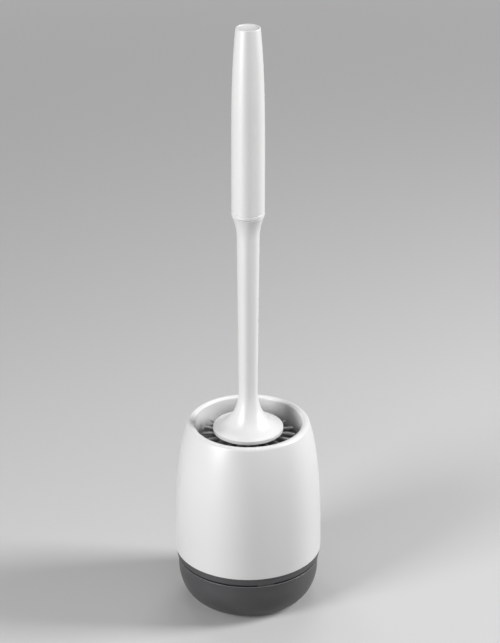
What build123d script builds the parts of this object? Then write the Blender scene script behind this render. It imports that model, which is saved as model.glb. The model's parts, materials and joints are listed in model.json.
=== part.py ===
from build123d import *
import math
import os

# A toilet brush standing in its holder. Millimetres, +Z up, the front faces -Y.
# The origin is the centre of the foot at floor level.

# Outer shell: a barrel that leans in to a rolled rim
shell_foot_radius = 51.7
shell_foot_chamfer = 0.3
shell_height = 98.5
shell_wall = 2.2
foot_pull = 46.3  # how far each end of the side's curve keeps its direction
shoulder_pull = 21.7
shoulder_lean = 16.6  # degrees from upright, where the side meets the rim
mouth_radius = 38.0
mouth_round = 0.7
rim_width = 2.7  # mouth's edge to the highest circle of the rim
rim_round = 2.6
rim_slope = 22.0  # degrees, fall of the rim's top towards the mouth
rim_depth = 3.5  # top of the rim to its underside
rim_underside_round = 1.3

# Base ring: a band under the shell, with a spigot up into it and legs down into the tray
band_setback = 0.9
band_height = 5.1
band_chamfer = 0.4
spigot_rise = 10.5
spigot_wall = 2.0
spigot_clearance = 0.2
spigot_chamfer = 0.6
ledge_rise = 3.6  # underside of the band to the ledge for the plate
leg_wall = 2.0
leg_drop = 8.0
leg_sweep = 40.0  # degrees
leg_clearance = 0.4

# Drip tray: a round-bottomed bowl
lip_setback = 0.4
lip_flare = 0.6
lip_height = 32.7
lip_chamfer = 0.5
bowl_belly_height = 26.0  # where the side stands upright
bowl_flat_radius = 32.5
tray_wall = 2.4
foot_gap = 0.8  # floor to the underside of the bowl

# Keys on the tray's lip, which carry the holder and hold the vent gap open
key_count = 3
key_width = 12.0
key_front_angle = -75.0  # the key beside the middle of the front
key_wall = 2.2
vent_gap = 1.7

# Rubber pads under the tray
pad_count = 3
pad_radius = 6.0
pad_thickness = 2.0
pad_circle_radius = 24.0
pad_clearance = 0.1

# Drain plate on the ring's ledge
plate_thickness = 2.0
plate_clearance = 0.2
plate_hole_radius = 3.0
seat_height = 3.0  # rim that centres the brush
seat_wall = 1.5
seat_clearance = 1.5
drain_slot_width = 4.0
drain_slot_length = 10.0
inner_slot_count = 8
outer_slot_count = 16
inner_slot_circle = 22.5
outer_slot_circle = 36.5

# Brush head: rings of prongs threaded on an eight-sided core
ring_count = 12
ring_height = 6.95
ring_hub_radius = 9.5
core_sides = 8
core_radius = 6.0  # to the flats
core_clearance = 0.1
prong_count = 20
prong_reach = 33.6
prong_root_size = 2.6  # sides of the square section
prong_tip_size = 1.9
prong_end_size = 0.8
prong_end_length = 0.9
head_curve_height = 28.0  # lower part of the head, where the prongs shorten
head_curve_depth = 12.0

# Tip cap: the nut under the rings
tip_height = 8.0
tip_radius = 12.0
tip_flat_radius = 7.5
tip_screw_radius = 4.0
tip_screw_length = 5.3
screw_clearance = 0.1
screw_end_gap = 0.2

# Stem: cover disc, trumpet, shaft and neck
stem_length = 161.55  # underside of the disc to the collar
disc_radius = 24.6
disc_edge = 2.6
disc_edge_round = 0.5
flare_height = 28.0
waist_radius = 6.6
trumpet_wall = 2.2
stem_bore_radius = 4.6
neck_height = 15.95
shaft_top_radius = 7.75
neck_top_radius = 10.95
stem_screw_radius = 6.4
stem_screw_length = 19.0
core_screw_length = 18.0
screw_chamfer = 0.6

# Grip: collar, shell, socket and cap
collar_height = 3.05
collar_chamfer = 0.9
joint_chamfer = 0.3
grip_radius = 11.3
grip_length = 129.0
grip_straight = 44.3
grip_lower_pull = 42.4
grip_top_radius = 8.25
grip_top_pull = 21.0
grip_top_lean = 5.5  # degrees from upright
grip_wall = 2.2
grip_rim_round = 0.6
socket_length = 24.0
socket_clearance = 0.1
cap_radius = 7.0
cap_thickness = 1.6
cap_sink = 0.3
cap_clearance = 0.1
cap_dish = 0.4
cap_spigot_wall = 1.4
cap_spigot_length = 8.0

# Levels, from the floor up
ring_bottom = lip_height + vent_gap
shell_bottom = ring_bottom + band_height
rim_top = shell_bottom + shell_height
rim_underside = rim_top - rim_depth
ledge_level = ring_bottom + ledge_rise
plate_top = ledge_level + plate_thickness
head_bottom = plate_top + tip_height
disc_bottom = head_bottom + ring_count * ring_height
disc_top = disc_bottom + disc_edge
flare_top = disc_top + flare_height
collar_bottom = disc_bottom + stem_length
neck_bottom = collar_bottom - neck_height
grip_bottom = collar_bottom + collar_height
grip_top = grip_bottom + grip_length

# Radii that follow from a neighbour
crest_radius = mouth_radius + rim_width
band_radius = shell_foot_radius - band_setback
lip_radius = band_radius - lip_setback
bowl_belly_radius = lip_radius - lip_flare
tray_mouth_radius = bowl_belly_radius - tray_wall
leg_outer_radius = tray_mouth_radius - leg_clearance
leg_inner_radius = leg_outer_radius - leg_wall
shell_bore_radius = shell_foot_radius - shell_wall
spigot_outer_radius = shell_bore_radius - spigot_clearance
spigot_inner_radius = spigot_outer_radius - spigot_wall
plate_radius = spigot_inner_radius - plate_clearance
seat_radius = tip_radius + seat_clearance
grip_bore_radius = grip_radius - grip_wall
grip_top_bore = grip_top_radius - grip_wall
key_angles = [key_front_angle + 360.0 / key_count * i for i in range(key_count)]
prong_pitch = 360.0 / prong_count


def radial_plane(angle):
    """Upright plane through the Z axis, its X axis pointing outwards at this angle."""
    turn = math.radians(angle)
    outward = (math.cos(turn), math.sin(turn), 0.0)
    return Plane(origin=(0, 0, 0), x_dir=outward, z_dir=(math.sin(turn), -math.cos(turn), 0.0))


def quarter_round(start, corner, end):
    """Quarter of an ellipse from start to end, inside the corner where its end tangents meet."""
    centre = (start[0] + end[0] - corner[0], start[1] + end[1] - corner[1])
    half_width = abs(start[0] - end[0])
    half_height = abs(start[1] - end[1])
    start_angle = math.degrees(math.atan2(start[1] - centre[1], start[0] - centre[0]))
    end_angle = math.degrees(math.atan2(end[1] - centre[1], end[0] - centre[0]))
    quarter = 90.0 if (end_angle - start_angle) % 360.0 < 180.0 else -90.0
    return EllipticalCenterArc(centre, half_width, half_height, start_angle=start_angle, arc_size=quarter)


def lean_vector(angle, length):
    """A step of this length, upwards and leaning in towards the axis."""
    turn = math.radians(angle)
    return Vector(-math.sin(turn) * length, math.cos(turn) * length)


def finish(builder, name):
    builder.part.label = name
    export_step(builder.part, f"parts/{name}.step")


def make_drip_tray():
    floor_top = foot_gap + tray_wall
    with BuildPart() as tray:
        with BuildSketch(Plane.XZ):
            with BuildLine():
                Line((0, foot_gap), (bowl_flat_radius, foot_gap))
                quarter_round(
                    (bowl_flat_radius, foot_gap),
                    (bowl_belly_radius, foot_gap),
                    (bowl_belly_radius, bowl_belly_height),
                )
                TangentArc((bowl_belly_radius, bowl_belly_height), (lip_radius, lip_height), tangent=(0, 1))
                Line((lip_radius, lip_height), (tray_mouth_radius, lip_height))
                Line((tray_mouth_radius, lip_height), (tray_mouth_radius, bowl_belly_height))
                quarter_round(
                    (tray_mouth_radius, bowl_belly_height),
                    (tray_mouth_radius, floor_top),
                    (bowl_flat_radius, floor_top),
                )
                Line((bowl_flat_radius, floor_top), (0, floor_top))
                Line((0, floor_top), (0, foot_gap))
            make_face()
        revolve(axis=Axis.Z)
        lip_edge = tray.edges().filter_by(GeomType.CIRCLE).group_by(Axis.Z)[-1].sort_by(SortBy.RADIUS)[-1]
        chamfer(lip_edge, length=lip_chamfer)
        # Keys on the lip, on the ring's own curve
        key_sweep = math.degrees(key_width / band_radius)
        for angle in key_angles:
            with BuildSketch(radial_plane(angle - key_sweep / 2)):
                with Locations((lip_radius - lip_chamfer, lip_height)):
                    Rectangle(key_wall, vent_gap, align=(Align.MAX, Align.MIN))
            revolve(axis=Axis.Z, revolution_arc=key_sweep)
        with BuildSketch(Plane.XY.offset(foot_gap)):
            with PolarLocations(pad_circle_radius, pad_count, start_angle=90):
                Circle(pad_radius + pad_clearance)
        extrude(amount=pad_thickness - foot_gap, mode=Mode.SUBTRACT)
    finish(tray, "drip_tray")


def make_foot_pads():
    with BuildPart() as pads:
        with BuildSketch():
            with PolarLocations(pad_circle_radius, pad_count, start_angle=90):
                Circle(pad_radius)
        extrude(amount=pad_thickness)
    finish(pads, "foot_pads")


def make_base_ring():
    spigot_top = shell_bottom + spigot_rise
    with BuildPart() as ring:
        with BuildSketch(Plane.XZ):
            with BuildLine():
                Polyline(
                    (leg_inner_radius, ring_bottom),
                    (band_radius - band_chamfer, ring_bottom),
                    (band_radius, ring_bottom + band_chamfer),
                    (band_radius, shell_bottom),
                    (spigot_outer_radius, shell_bottom),
                    (spigot_outer_radius, spigot_top - spigot_chamfer),
                    (spigot_outer_radius - spigot_chamfer, spigot_top),
                    (spigot_inner_radius, spigot_top),
                    (spigot_inner_radius, ledge_level),
                    (leg_inner_radius, ledge_level),
                    close=True,
                )
            make_face()
        revolve(axis=Axis.Z)
        # Legs behind the keys, so that the vent stays open between them
        for angle in key_angles:
            with BuildSketch(radial_plane(angle - leg_sweep / 2)):
                with Locations((leg_inner_radius, ring_bottom)):
                    Rectangle(leg_wall, leg_drop, align=(Align.MIN, Align.MAX))
            revolve(axis=Axis.Z, revolution_arc=leg_sweep)
    finish(ring, "base_ring")


def make_drain_plate():
    with BuildPart() as plate:
        with BuildSketch(Plane.XY.offset(ledge_level)):
            Circle(plate_radius)
        extrude(amount=plate_thickness)
        with BuildSketch(Plane.XY.offset(plate_top)):
            Circle(seat_radius + seat_wall)
            Circle(seat_radius, mode=Mode.SUBTRACT)
        extrude(amount=seat_height)
        with BuildSketch(Plane.XY.offset(ledge_level)):
            Circle(plate_hole_radius)
            with PolarLocations(inner_slot_circle, inner_slot_count):
                Rectangle(drain_slot_length, drain_slot_width)
            with PolarLocations(outer_slot_circle, outer_slot_count):
                Rectangle(drain_slot_length, drain_slot_width)
        extrude(amount=plate_thickness, mode=Mode.SUBTRACT)
    finish(plate, "drain_plate")


def make_outer_shell():
    lean = math.radians(shoulder_lean)
    slope = math.radians(rim_slope)
    outward = Vector(math.cos(lean), math.sin(lean))
    inward = Vector(-math.sin(slope), math.cos(slope))
    crest_centre = Vector(crest_radius, rim_top - rim_round)
    shoulder = crest_centre + outward * rim_round
    inner_shoulder = shoulder - outward * shell_wall
    # The two rounds of the rim touch the same sloping line
    mouth_offset = mouth_round - rim_width
    mouth_edge = crest_centre.Y + (rim_round - mouth_round - mouth_offset * inward.X) / inward.Y
    mouth_centre = Vector(mouth_radius + mouth_round, mouth_edge)
    lip_end = (mouth_radius + rim_underside_round, rim_underside)
    with BuildPart() as shell:
        with BuildSketch(Plane.XZ):
            with BuildLine():
                Bezier(
                    (shell_foot_radius, shell_bottom),
                    (shell_foot_radius, shell_bottom + foot_pull),
                    shoulder - lean_vector(shoulder_lean, shoulder_pull),
                    shoulder,
                )
                CenterArc(crest_centre, rim_round, shoulder_lean, 90.0 - shoulder_lean + rim_slope)
                Line(crest_centre + inward * rim_round, mouth_centre + inward * mouth_round)
                CenterArc(mouth_centre, mouth_round, 90.0 + rim_slope, 90.0 - rim_slope)
                Line((mouth_radius, mouth_edge), (mouth_radius, rim_underside + rim_underside_round))
                quarter_round(
                    (mouth_radius, rim_underside + rim_underside_round),
                    (mouth_radius, rim_underside),
                    lip_end,
                )
                Line(lip_end, inner_shoulder)
                Bezier(
                    inner_shoulder,
                    inner_shoulder - lean_vector(shoulder_lean, shoulder_pull),
                    (shell_bore_radius, shell_bottom + foot_pull),
                    (shell_bore_radius, shell_bottom),
                )
                Line((shell_bore_radius, shell_bottom), (shell_foot_radius, shell_bottom))
            make_face()
        revolve(axis=Axis.Z)
        foot_edge = shell.edges().filter_by(GeomType.CIRCLE).group_by(Axis.Z)[0].sort_by(SortBy.RADIUS)[-1]
        chamfer(foot_edge, length=shell_foot_chamfer)
    finish(shell, "outer_shell")


def prong_length_at(level):
    """Reach of the prongs at a height: full above, on a quarter ellipse in the lower part of the head."""
    below = max(0.0, head_bottom + head_curve_height - level) / head_curve_height
    return prong_reach - head_curve_depth * (1.0 - math.sqrt(1.0 - below * below))


def make_bristle_ring(index):
    ring_level = disc_bottom - (index + 1) * ring_height
    prong_level = ring_level + ring_height / 2
    stagger = prong_pitch / 2 * (index % 2)
    root = ring_hub_radius * math.cos(math.pi / prong_count)
    reach = prong_length_at(prong_level)
    outline = [
        (root, prong_root_size / 2),
        (reach - prong_end_length, prong_tip_size / 2),
        (reach, prong_end_size / 2),
        (reach, -prong_end_size / 2),
        (reach - prong_end_length, -prong_tip_size / 2),
        (root, -prong_root_size / 2),
    ]
    from_above = Plane.XY.offset(prong_level)
    from_side = Plane(origin=(0, 0, prong_level), x_dir=(1, 0, 0), z_dir=(0, -1, 0))
    with BuildPart() as prong:
        # The same drafted outline seen from above and from the side gives the square prong
        for view, combine in ((from_above, Mode.ADD), (from_side, Mode.INTERSECT)):
            with BuildSketch(view):
                Polygon(*outline, align=None)
            extrude(amount=prong_root_size, both=True, mode=combine)
    with BuildPart() as ring:
        with BuildSketch(Plane.XY.offset(ring_level)):
            RegularPolygon(ring_hub_radius, prong_count, rotation=prong_pitch / 2 + stagger)
            RegularPolygon(core_radius + core_clearance, core_sides, major_radius=False, mode=Mode.SUBTRACT)
        extrude(amount=ring_height)
        with PolarLocations(0, prong_count, start_angle=stagger):
            add(prong.part)
    finish(ring, f"bristle_ring_{index + 1:02d}")


def make_head_core():
    screw_top = disc_bottom + core_screw_length
    with BuildPart() as core:
        with BuildSketch(Plane.XY.offset(head_bottom)):
            RegularPolygon(core_radius, core_sides, major_radius=False)
        extrude(amount=ring_count * ring_height)
        with BuildSketch(Plane.XY.offset(disc_bottom)):
            Circle(stem_bore_radius - screw_clearance)
        extrude(amount=core_screw_length)
        with BuildSketch(Plane.XY.offset(head_bottom)):
            Circle(tip_screw_radius)
        extrude(amount=-tip_screw_length)
        chamfer(core.edges().group_by(Axis.Z)[-1], length=screw_chamfer)
        chamfer(core.edges().group_by(Axis.Z)[0], length=screw_chamfer)
    finish(core, "head_core")


def make_tip_cap():
    with BuildPart() as cap:
        with BuildSketch(Plane.XZ):
            with BuildLine():
                Line((0, plate_top), (tip_flat_radius, plate_top))
                quarter_round((tip_flat_radius, plate_top), (tip_radius, plate_top), (tip_radius, head_bottom))
                Line((tip_radius, head_bottom), (0, head_bottom))
                Line((0, head_bottom), (0, plate_top))
            make_face()
        revolve(axis=Axis.Z)
        with Locations((0, 0, head_bottom)):
            Hole(tip_screw_radius + screw_clearance, depth=tip_screw_length + screw_end_gap)
    finish(cap, "tip_cap")


def make_stem():
    spigot_top = collar_bottom + stem_screw_length
    hollow_reach = disc_radius - trumpet_wall
    flare_width = disc_radius - waist_radius
    with BuildPart() as stem:
        with BuildSketch(Plane.XZ):
            with BuildLine():
                Line((stem_bore_radius, disc_bottom), (disc_radius, disc_bottom))
                Line((disc_radius, disc_bottom), (disc_radius, disc_top))
                quarter_round((disc_radius, disc_top), (waist_radius, disc_top), (waist_radius, flare_top))
                Line((waist_radius, flare_top), (shaft_top_radius, neck_bottom))
                TangentArc((shaft_top_radius, neck_bottom), (neck_top_radius, collar_bottom), tangent=(0, 1))
                Line((neck_top_radius, collar_bottom), (stem_screw_radius, collar_bottom))
                Line((stem_screw_radius, collar_bottom), (stem_screw_radius, spigot_top))
                Line((stem_screw_radius, spigot_top), (stem_bore_radius, spigot_top))
                Line((stem_bore_radius, spigot_top), (stem_bore_radius, disc_bottom))
            make_face()
        revolve(axis=Axis.Z)
        circles = stem.edges().filter_by(GeomType.CIRCLE)
        low_circles = circles.filter_by_position(Axis.Z, disc_bottom - disc_edge, disc_top + disc_edge)
        fillet(low_circles.group_by(SortBy.RADIUS)[-1], radius=disc_edge_round)
        chamfer(stem.edges().group_by(Axis.Z)[-1].sort_by(SortBy.RADIUS)[-1], length=screw_chamfer)
        # The trumpet is cored from below, around the boss that the head screws against
        with BuildSketch(Plane.XZ):
            with Locations((ring_hub_radius, disc_bottom)):
                Rectangle(hollow_reach - ring_hub_radius, flare_height, align=(Align.MIN, Align.MIN))
            with Locations((disc_radius, flare_top)):
                Ellipse(flare_width + trumpet_wall, flare_height + trumpet_wall, mode=Mode.SUBTRACT)
        revolve(axis=Axis.Z, mode=Mode.SUBTRACT)
    finish(stem, "stem")


def make_grip_collar():
    with BuildPart() as collar:
        with BuildSketch(Plane.XY.offset(collar_bottom)):
            Circle(grip_radius)
            Circle(stem_screw_radius + socket_clearance, mode=Mode.SUBTRACT)
        extrude(amount=collar_height)
        outer_edges = collar.edges().filter_by(GeomType.CIRCLE).group_by(SortBy.RADIUS)[-1]
        chamfer(outer_edges.sort_by(Axis.Z)[0], length=collar_chamfer)
        chamfer(outer_edges.sort_by(Axis.Z)[-1], length=joint_chamfer)
    finish(collar, "grip_collar")


def make_grip_shell():
    straight_top = grip_bottom + grip_straight
    crown = Vector(grip_top_radius, grip_top)
    inner_crown = Vector(grip_top_bore, grip_top - cap_sink - cap_thickness)
    with BuildPart() as shell:
        with BuildSketch(Plane.XZ):
            with BuildLine():
                Line((grip_bore_radius, grip_bottom), (grip_radius - joint_chamfer, grip_bottom))
                Line((grip_radius - joint_chamfer, grip_bottom), (grip_radius, grip_bottom + joint_chamfer))
                Line((grip_radius, grip_bottom + joint_chamfer), (grip_radius, straight_top))
                Bezier(
                    (grip_radius, straight_top),
                    (grip_radius, straight_top + grip_lower_pull),
                    crown - lean_vector(grip_top_lean, grip_top_pull),
                    crown,
                )
                Line(crown, (cap_radius, grip_top))
                Line((cap_radius, grip_top), (cap_radius, inner_crown.Y))
                Line((cap_radius, inner_crown.Y), inner_crown)
                Bezier(
                    inner_crown,
                    inner_crown - lean_vector(grip_top_lean, grip_top_pull),
                    (grip_bore_radius, straight_top + grip_lower_pull),
                    (grip_bore_radius, straight_top),
                )
                Line((grip_bore_radius, straight_top), (grip_bore_radius, grip_bottom))
            make_face()
        revolve(axis=Axis.Z)
        rim_edge = shell.edges().filter_by(GeomType.CIRCLE).group_by(Axis.Z)[-1].sort_by(SortBy.RADIUS)[-1]
        fillet(rim_edge, radius=grip_rim_round)
    finish(shell, "grip_shell")


def make_grip_socket():
    with BuildPart() as socket:
        with BuildSketch(Plane.XY.offset(grip_bottom)):
            Circle(grip_bore_radius - socket_clearance)
            Circle(stem_screw_radius + socket_clearance, mode=Mode.SUBTRACT)
        extrude(amount=socket_length)
    finish(socket, "grip_socket")


def make_grip_cap():
    cap_top = grip_top - cap_sink
    cap_bottom = cap_top - cap_thickness
    spigot_radius = grip_top_bore - cap_clearance
    rim_inner = cap_radius - cap_clearance
    with BuildPart() as cap:
        with BuildSketch(Plane.XZ):
            with BuildLine():
                ThreePointArc((-rim_inner, cap_top), (0, cap_top - cap_dish), (rim_inner, cap_top))
                Line((rim_inner, cap_top), (rim_inner, cap_bottom))
                Line((rim_inner, cap_bottom), (-rim_inner, cap_bottom))
                Line((-rim_inner, cap_bottom), (-rim_inner, cap_top))
            make_face()
            split(bisect_by=Plane.YZ)
        revolve(axis=Axis.Z)
        with BuildSketch(Plane.XY.offset(cap_bottom)):
            Circle(spigot_radius)
            Circle(spigot_radius - cap_spigot_wall, mode=Mode.SUBTRACT)
        extrude(amount=-cap_spigot_length)
    finish(cap, "grip_cap")


os.makedirs("parts", exist_ok=True)
make_drip_tray()
make_foot_pads()
make_base_ring()
make_drain_plate()
make_outer_shell()
for ring_index in range(ring_count):
    make_bristle_ring(ring_index)
make_head_core()
make_tip_cap()
make_stem()
make_grip_collar()
make_grip_shell()
make_grip_socket()
make_grip_cap()
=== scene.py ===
import json
import math

import bpy
import numpy as np
from bpy.props import FloatProperty, FloatVectorProperty, IntProperty, PointerProperty
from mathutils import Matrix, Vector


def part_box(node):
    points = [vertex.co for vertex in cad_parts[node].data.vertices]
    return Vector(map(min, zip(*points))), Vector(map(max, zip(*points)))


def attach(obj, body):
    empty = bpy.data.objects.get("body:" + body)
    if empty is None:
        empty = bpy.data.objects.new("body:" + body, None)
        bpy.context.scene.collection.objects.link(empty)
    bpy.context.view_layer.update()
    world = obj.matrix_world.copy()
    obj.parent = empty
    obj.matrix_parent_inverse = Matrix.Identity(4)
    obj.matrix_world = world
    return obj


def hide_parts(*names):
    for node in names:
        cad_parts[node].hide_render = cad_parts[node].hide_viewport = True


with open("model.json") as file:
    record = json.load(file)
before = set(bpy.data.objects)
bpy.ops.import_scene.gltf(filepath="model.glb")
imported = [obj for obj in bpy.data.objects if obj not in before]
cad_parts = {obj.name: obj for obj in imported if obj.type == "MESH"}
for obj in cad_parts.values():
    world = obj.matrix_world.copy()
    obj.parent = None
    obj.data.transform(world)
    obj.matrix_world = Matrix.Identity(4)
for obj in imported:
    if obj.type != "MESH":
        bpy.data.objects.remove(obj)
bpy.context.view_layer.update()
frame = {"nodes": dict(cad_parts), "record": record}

bl_info = {
    "name": "Toilet Brush and Holder",
    "version": (1, 0, 0),
    "blender": (4, 5, 0),
    "location": "3D View > Sidebar > Brush",
    "description": "Builds a toilet brush and its holder round the packed frame",
    "category": "Object",
}

# Lengths below are metres, in the frame's own axes: +Z up along the brush, -Y to the front.
MM = 0.001
CLEARANCE = 0.1 * MM  # between pieces that fit into one another
FINE_EDGE = 0.25 * MM  # round on small turned pieces
SHELL_LOW, SHELL_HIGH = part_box("outer_shell")
RING_LOW, RING_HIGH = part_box("base_ring")
TRAY_LOW, TRAY_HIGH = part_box("drip_tray")
_, PADS_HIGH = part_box("foot_pads")
STEM_LOW, STEM_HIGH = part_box("stem")
COLLAR_LOW, COLLAR_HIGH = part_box("grip_collar")
GRIP_LOW, GRIP_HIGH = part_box("grip_shell")
_, CAP_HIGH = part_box("grip_cap")
TIP_LOW, TIP_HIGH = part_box("tip_cap")
RING_NODES = sorted(name for name in frame["nodes"] if name.startswith("bristle_ring_"))


def half_width(low, high):
    """The largest radius about the upright axis that stays inside a node's box."""
    return min(-low.x, high.x, -low.y, high.y)


# ---------------------------------------------------------------- profiles


SAME_POINT = 1e-7  # metres between two points of a profile that count as one


def points(*pairs):
    return np.array(pairs, float)


def rectangle(inside, outside, low, high):
    return points((inside, low), (outside, low), (outside, high), (inside, high))


def line(start, end, count):
    """Evenly spaced points from start to end: start + t (end - start)."""
    share = np.linspace(0.0, 1.0, count)[:, None]
    return np.array(start) * (1 - share) + np.array(end) * share


def cubic(start, pull_a, pull_b, end, count):
    """Cubic Bezier curve: the four points weighted by (1-t)^3, 3t(1-t)^2, 3t^2(1-t) and t^3."""
    t = np.linspace(0.0, 1.0, count)[:, None]
    a, b, c, d = (np.array(p, float) for p in (start, pull_a, pull_b, end))
    return a * (1 - t) ** 3 + 3 * b * t * (1 - t) ** 2 + 3 * c * t**2 * (1 - t) + d * t**3


def quarter(start, corner, end, count):
    """Quarter of an ellipse: centre + (start - centre) cos t + (end - centre) sin t, t from 0 to 90 degrees."""
    start, corner, end = (np.array(p, float) for p in (start, corner, end))
    centre = start + end - corner
    t = np.linspace(0.0, math.pi / 2, count)[:, None]
    return centre + (start - centre) * np.cos(t) + (end - centre) * np.sin(t)


def arc(centre, radius, first, last, count):
    """Part of a circle: centre + radius (cos t, sin t), t from first to last, in degrees."""
    t = np.radians(np.linspace(first, last, count))
    return np.array(centre) + radius * np.stack([np.cos(t), np.sin(t)], axis=1)


def bow(rise, stray):
    """Radius, and angle in degrees, of the arc that starts upright and strays this far sideways over the rise."""
    radius = (rise**2 + stray**2) / (2 * stray)
    return radius, math.degrees(math.asin(rise / radius))


def lean(angle, length):
    """A step of this length, upwards and leaning in towards the axis by an angle in degrees."""
    turn = math.radians(angle)
    return np.array([-math.sin(turn) * length, math.cos(turn) * length])


def chain(*runs):
    """Joins runs of points end to end and drops the points that fall on the one before."""
    path = np.concatenate([np.atleast_2d(run) for run in runs])
    step = np.linalg.norm(np.diff(path, axis=0), axis=1)
    return path[np.concatenate([[True], step > SAME_POINT])]


# How a round sits in a profile's corner: the smallest turn that gets one, in degrees, points along it, the largest
# share of a side that it takes, and how far outside it the holding points lie, as shares of its size and of the side.
ROUND_FROM = 22.0
ROUND_POINTS = 7
ROUND_SIDE_SHARE = 0.4
HOLD_SIZE_SHARE = 0.5
HOLD_SIDE_SHARE = 0.1


def soften(profile, size, closed=True):
    """Rounds each sharp corner: it gives way to a parabola between the points a distance `size` before and after
    it, with one holding point on each side to keep the flats flat.
    Returns the points and, for each, how near it is to the middle of such a corner, from 0 to 1."""
    before, after = np.roll(profile, 1, axis=0), np.roll(profile, -1, axis=0)
    to_here, from_here = profile - before, after - profile
    reach_in, reach_out = np.linalg.norm(to_here, axis=1), np.linalg.norm(from_here, axis=1)
    way_in, way_out = to_here / reach_in[:, None], from_here / reach_out[:, None]
    turn = np.degrees(np.arccos(np.clip((way_in * way_out).sum(axis=1), -1, 1)))
    sharp = turn > ROUND_FROM
    if not closed:
        sharp[[0, -1]] = False
    t = np.linspace(0.0, 1.0, ROUND_POINTS)[:, None]
    runs, masks = [], []
    for i, here in enumerate(profile):
        if not sharp[i]:
            runs.append(here[None])
            masks.append(np.zeros(1))
            continue
        step = min(size, ROUND_SIDE_SHARE * reach_in[i], ROUND_SIDE_SHARE * reach_out[i])
        first, last = here - way_in[i] * step, here + way_out[i] * step
        bend = first * (1 - t) ** 2 + 2 * here * t * (1 - t) + last * t**2
        hold_in = first - way_in[i] * min(HOLD_SIZE_SHARE * step, HOLD_SIDE_SHARE * reach_in[i])
        hold_out = last + way_out[i] * min(HOLD_SIZE_SHARE * step, HOLD_SIDE_SHARE * reach_out[i])
        runs.append(np.concatenate([hold_in[None], bend, hold_out[None]]))
        masks.append(np.concatenate([[0.0], np.sin(math.pi * t[:, 0]), [0.0]]))
    return np.concatenate(runs), np.concatenate(masks)


# ---------------------------------------------------------------- meshes


MERGE_SCALE = 1e8  # points of a mesh are one where they round to the same whole numbers at this scale


def grid_faces(rows, columns, wrap_rows=True, wrap_columns=True):
    """Corner numbers of the quads of a rows x columns grid of points, wrapped where asked."""
    i = np.arange(rows if wrap_rows else rows - 1)
    j = np.arange(columns if wrap_columns else columns - 1)
    i, j = (a.ravel() for a in np.meshgrid(i, j, indexing="ij"))
    i_next, j_next = (i + 1) % rows, (j + 1) % columns
    return np.stack([i * columns + j, i_next * columns + j, i_next * columns + j_next, i * columns + j_next], axis=1)


def merged(vertices, faces):
    """Merges points that share a place, and makes each quad that loses a corner a triangle. Returns the points,
    the faces and the kept points' old numbers."""
    key = np.round(vertices * MERGE_SCALE).astype(np.int64)
    _, first, back = np.unique(key, axis=0, return_index=True, return_inverse=True)
    faces = back.reshape(-1)[faces]
    same = faces == np.roll(faces, -1, axis=1)
    quads = faces[~same.any(axis=1)]
    narrow, lost = faces[same.sum(axis=1) == 1], same[same.sum(axis=1) == 1]
    triangles = narrow[~lost].reshape(-1, 3)
    return vertices[first], quads.tolist() + triangles.tolist(), first


def volume(vertices, faces):
    """Signed volume inside the quads: a sixth of the sum of a . (b x c) over their triangles."""
    a, b, c, d = (vertices[faces[:, k]] for k in range(4))
    return ((a * np.cross(b, c)).sum() + (a * np.cross(c, d)).sum()) / 6


def add_object(name, data):
    made = bpy.data.objects.new(name, data)
    bpy.context.scene.collection.objects.link(made)
    return made


def make_object(name, vertices, faces, masks):
    """Puts arrays of points and quads into a mesh whose faces look outwards. `masks` holds point attributes."""
    if volume(vertices, faces) < 0:
        faces = faces[:, ::-1]
    places, corners, kept = merged(vertices, faces)
    mesh = bpy.data.meshes.new(name)
    mesh.from_pydata(places.tolist(), [], corners)
    mesh.update()
    mesh.polygons.foreach_set("use_smooth", np.full(len(mesh.polygons), True))
    for label, values in masks.items():
        attribute = mesh.attributes.new(label, "FLOAT", "POINT")
        attribute.data.foreach_set("value", values[kept].astype(np.float32))
    return add_object(name, mesh)


def turned(profile, segments, first=0.0, sweep=360.0):
    """Carries a profile round the upright axis: x = r cos a, y = r sin a, z = h, for the profile's (r, h)."""
    whole = sweep >= 360.0
    angles = np.radians(first + np.linspace(0.0, sweep, segments, endpoint=not whole))
    radius, height = profile[:, 0], profile[:, 1]
    grid = np.stack(
        [np.outer(np.cos(angles), radius), np.outer(np.sin(angles), radius), np.tile(height, (segments, 1))], axis=-1
    )
    return grid.reshape(-1, 3)


def lathe(name, profile, segments, edge_size, closed=True):
    """A turned piece: the profile with its corners softened, carried once round the axis."""
    outline, edge = soften(profile, edge_size, closed)
    faces = grid_faces(segments, len(outline), wrap_columns=closed)
    return make_object(name, turned(outline, segments), faces, {"edge": np.tile(edge, segments)})


def capped_sector(profile, first, sweep, segments):
    """Points and quads of a short turned run of a closed four-sided profile, with flat ends."""
    count = len(profile)
    vertices = turned(profile, segments, first, sweep)
    faces = grid_faces(segments, count, wrap_rows=False)
    ends = np.array([[0, 1, 2, 3], [3, 2, 1, 0]])
    ends[1] += (segments - 1) * count
    return vertices, np.concatenate([faces, ends])


def joined(parts):
    """Several (points, quads) pairs as one."""
    shift, all_vertices, all_faces = 0, [], []
    for vertices, faces in parts:
        if volume(vertices, faces) < 0:
            faces = faces[:, ::-1]
        all_vertices.append(vertices)
        all_faces.append(faces + shift)
        shift += len(vertices)
    return np.concatenate(all_vertices), np.concatenate(all_faces)


# ---------------------------------------------------------------- finishes


# The part of a noise texture's values that is stretched over 0 to 1
PATCH_RANGE = (0.3, 0.7)
BREAK_RANGE = (0.25, 0.75)


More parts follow.
